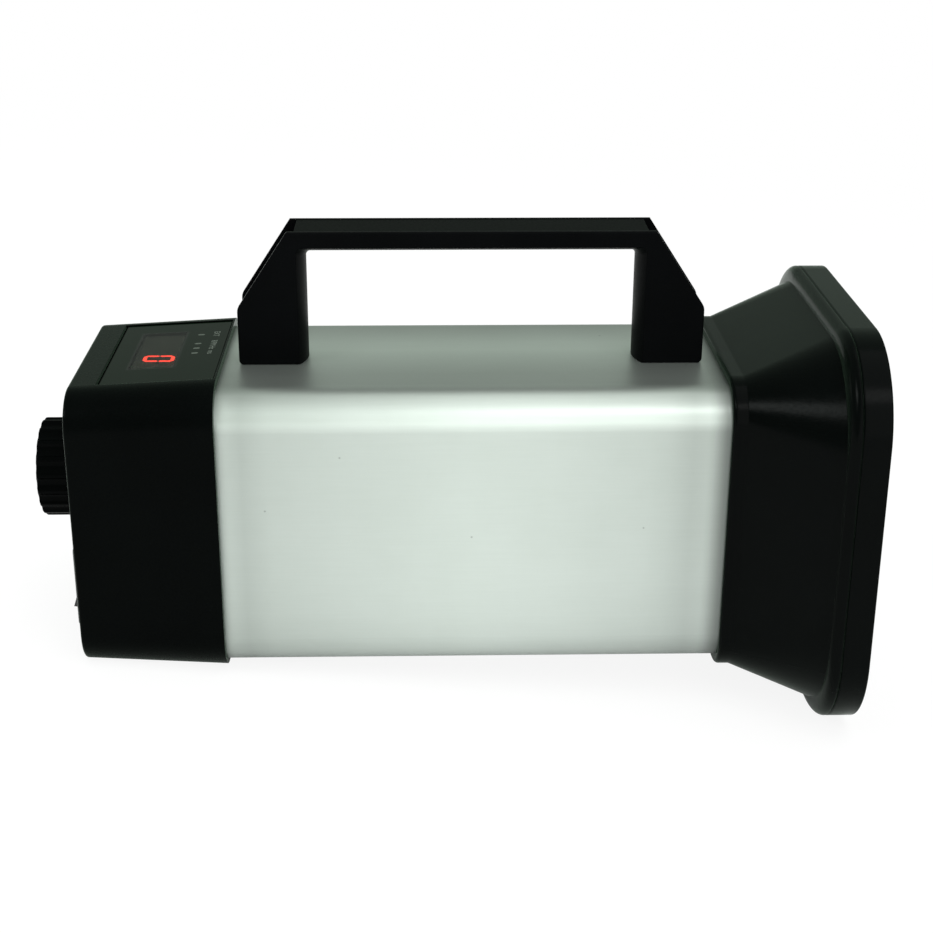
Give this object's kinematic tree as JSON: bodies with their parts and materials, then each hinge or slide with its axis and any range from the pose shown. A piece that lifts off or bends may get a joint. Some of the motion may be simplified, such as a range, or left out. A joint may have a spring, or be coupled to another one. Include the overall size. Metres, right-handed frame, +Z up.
{
  "type": "xenon stroboscope",
  "caption": "Hand-held xenon stroboscope: silver tube body with a bridge handle, flared black lamp hood, and a rear cap with LED readout, knob, buttons, rocker and sockets.",
  "frame": {"origin": "centre of the mouth of the tripod bush, in the underside, at the middle of the body tube", "axes": "+X out of the lamp, +Z up through the handle, +Y to the side away from the camera of the picture"},
  "size_m": [0.21, 0.1006, 0.1231],
  "materials": {
    "anodised_tube": "satin anodised",
    "cap_black": "fine texture",
    "hood_black": "fine texture",
    "handle_black": "fine texture",
    "cover_black": "satin",
    "knob_black": "satin",
    "knob_disc": "spun",
    "smoked_panel": "smoked, clear window",
    "module_black": "matt",
    "lit_red": "glowing",
    "unlit_grey": "dull",
    "led_green": "dull",
    "board_green": "solder mask",
    "zinc_steel": "zinc plated",
    "black_steel": "blackened",
    "nickel": "nickel plated",
    "shaft_metal": "turned",
    "part_black": "moulded",
    "rocker_black": "moulded",
    "tinned_brass": "tinned",
    "button_grey": "soft",
    "plunger_white": "moulded",
    "lens_clear": "polished",
    "gasket_black": "soft",
    "bright_dish": "polished",
    "ceramic": "glazed",
    "lamp_glass": "clear",
    "electrode_metal": "bright",
    "wire_nickel": "drawn",
    "bush_brass": "turned",
    "can_sleeve": "shrunk sleeve",
    "ferrite": "sintered",
    "winding_tape": "taped",
    "coil_resin": "potted",
    "cell_sleeve": "shrunk sleeve",
    "foam_grey": "foam",
    "lead_red": "silicone",
    "ribbon_grey": "flat cable"
  },
  "bodies": {
    "housing": {"body_tube": "anodised_tube", "rear_cap": "cap_black", "hood": "hood_black", "front_frame": "hood_black", "handle": "handle_black", "handle_cover": "cover_black", "display_panel": "smoked_panel", "digit_display": "module_black", "lit_segments": "lit_red", "dark_segments": "unlit_grey", "indicator_leds": "led_green", "display_board": "board_green", "control_board": "board_green", "main_board": "board_green", "board_screws": "zinc_steel", "hood_screws": "zinc_steel", "handle_washers": "zinc_steel", "handle_nuts": "zinc_steel", "socket_screws": "zinc_steel", "lamp_bracket": "zinc_steel", "cap_screws": "black_steel", "handle_screws": "black_steel", "frame_screws": "black_steel", "encoder_nut": "nickel", "socket_nuts": "nickel", "trigger_in_jack": "nickel", "trigger_out_jack": "nickel", "encoder_body": "part_black", "switch_bodies": "part_black", "power_switch_body": "part_black", "charge_socket": "part_black", "solder_terminals": "tinned_brass", "lens": "lens_clear", "lens_gasket": "gasket_black", "reflector": "bright_dish", "lamp_base": "ceramic", "lamp_socket": "ceramic", "flash_tube": "lamp_glass", "tube_electrodes": "electrode_metal", "trigger_wire": "wire_nickel", "tripod_bush": "bush_brass", "flash_capacitors": "can_sleeve", "transformer_core": "ferrite", "transformer_winding": "winding_tape", "trigger_coil": "coil_resin", "battery_packs": "cell_sleeve", "battery_pads": "foam_grey", "lamp_leads": "lead_red", "ribbon_cable": "ribbon_grey"},
    "knob_unit": {"knob": "knob_black", "knob_cap": "knob_disc", "knob_grub_screw": "zinc_steel", "encoder_shaft": "shaft_metal"},
    "double_key": {"double_button": "button_grey", "double_plunger": "plunger_white"},
    "source_key": {"source_button": "button_grey", "source_plunger": "plunger_white"},
    "halve_key": {"halve_button": "button_grey", "halve_plunger": "plunger_white"},
    "rocker": {"power_rocker": "rocker_black"}
  },
  "joints": [
    {"name": "knob_turn", "type": "hinge", "parent": "housing", "child": "knob_unit", "pos_m": [-0.106, 0, 0.0434], "axis": [1, 0, 0], "continuous": true},
    {"name": "double_press", "type": "slide", "parent": "housing", "child": "double_key", "axis": [1, 0, 0], "range_m": [0, 0.001], "stiffness_N_per_m": 2000, "springref_m": -0.0005},
    {"name": "source_press", "type": "slide", "parent": "housing", "child": "source_key", "axis": [1, 0, 0], "range_m": [0, 0.001], "stiffness_N_per_m": 2000, "springref_m": -0.0005},
    {"name": "halve_press", "type": "slide", "parent": "housing", "child": "halve_key", "axis": [1, 0, 0], "range_m": [0, 0.001], "stiffness_N_per_m": 2000, "springref_m": -0.0005},
    {"name": "power_rock", "type": "hinge", "parent": "housing", "child": "rocker", "pos_m": [-0.0981, -0.02, 0.021], "axis": [0, 1, 0], "range_deg": [-16, 0]}
  ]
}
